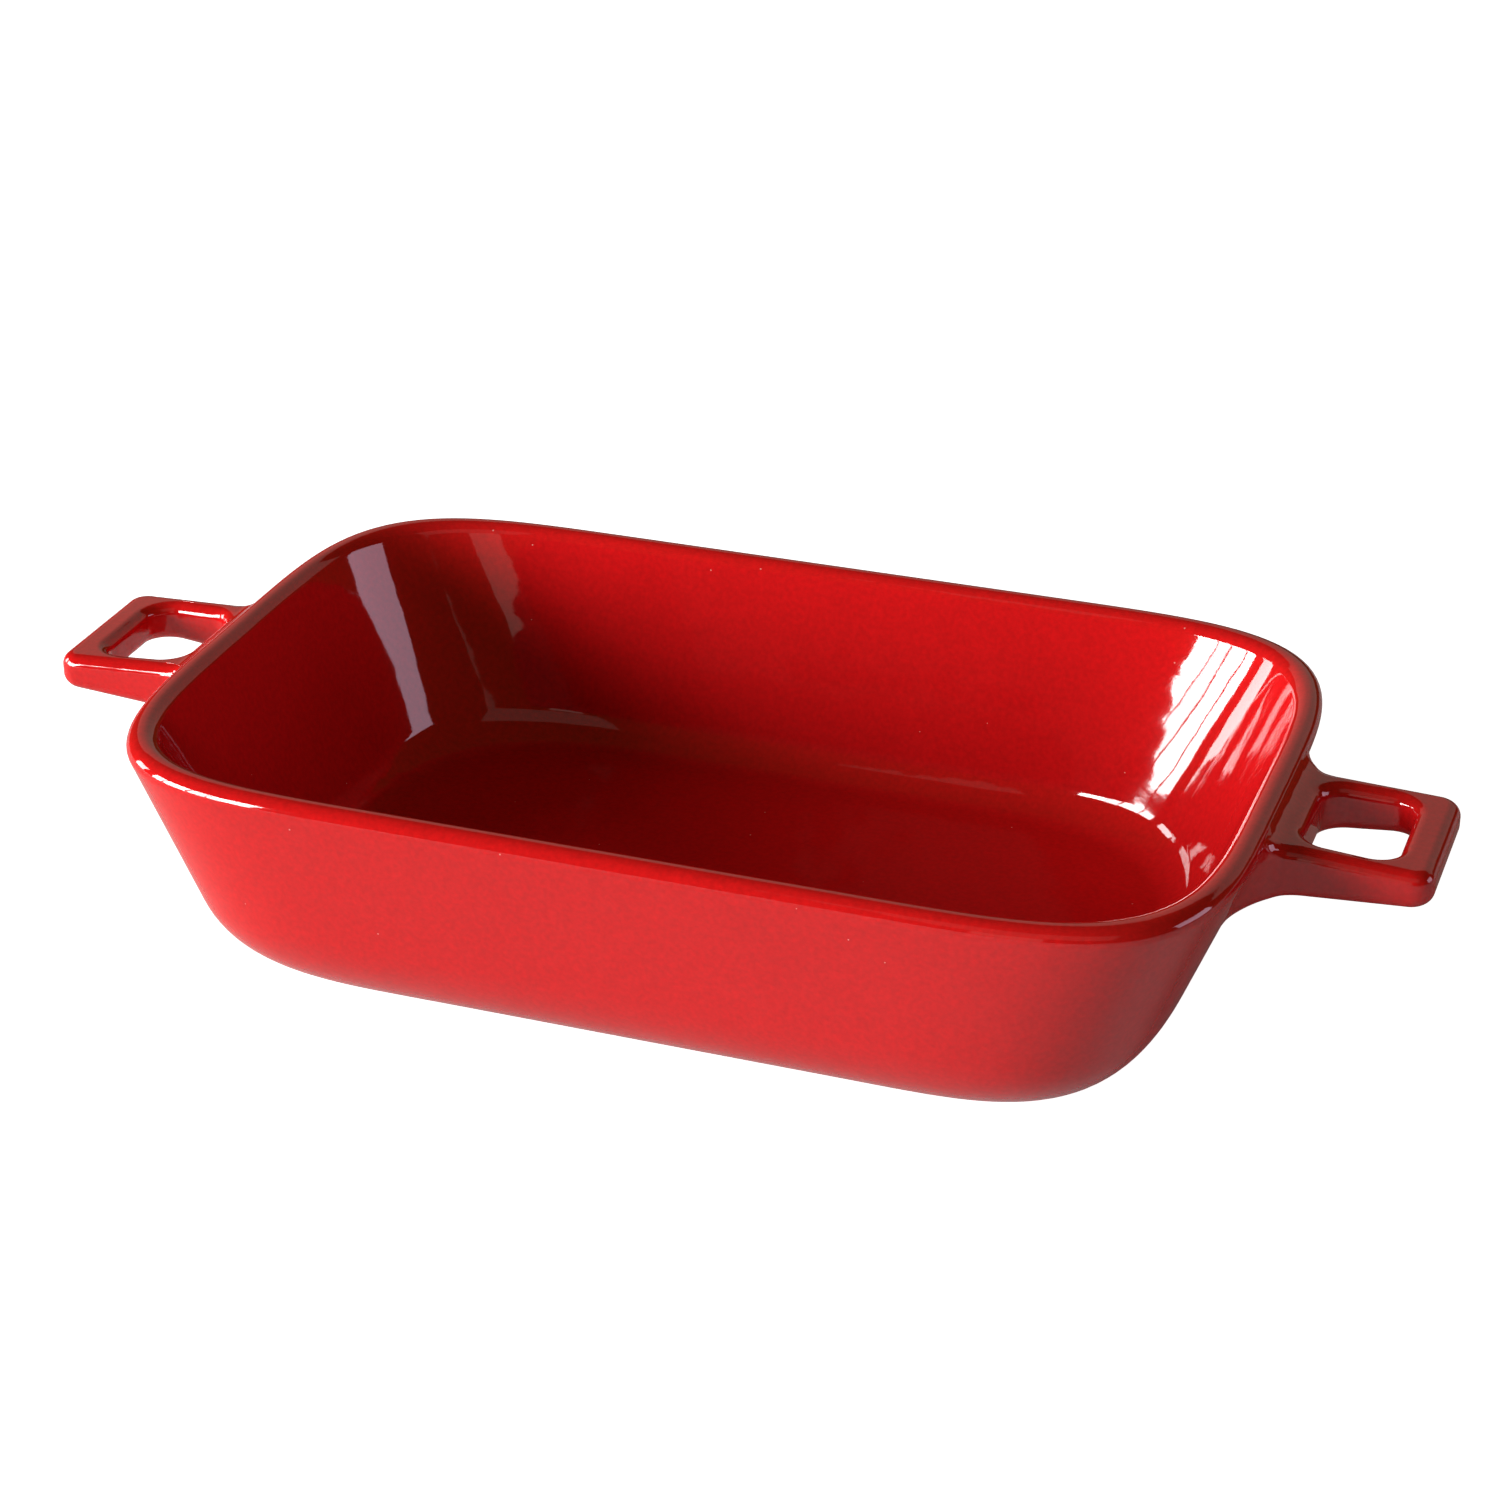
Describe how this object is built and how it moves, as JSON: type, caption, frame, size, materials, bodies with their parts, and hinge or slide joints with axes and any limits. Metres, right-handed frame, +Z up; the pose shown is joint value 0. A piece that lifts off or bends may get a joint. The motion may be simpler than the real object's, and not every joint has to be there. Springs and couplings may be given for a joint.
{
  "type": "gratin dish",
  "caption": "Rectangular glazed stoneware gratin dish with leaning walls, rounded corners and a square loop handle on each end, for baking and serving.",
  "frame": {"origin": "on the table plane, under the centre of the dish", "axes": "+X along the dish from handle to handle, +Y across it, +Z up out of the open top"},
  "size_m": [0.253, 0.1256, 0.046],
  "materials": {
    "red_glaze": "glossy red glaze over stoneware, with faint orange peel and pinholes",
    "bare_stoneware": "fired clay, sponged smooth, without glaze"
  },
  "bodies": {
    "root": {"dish_body": "red_glaze", "left_handle": "red_glaze", "right_handle": "red_glaze", "foot_ring": "bare_stoneware"}
  },
  "joints": []
}
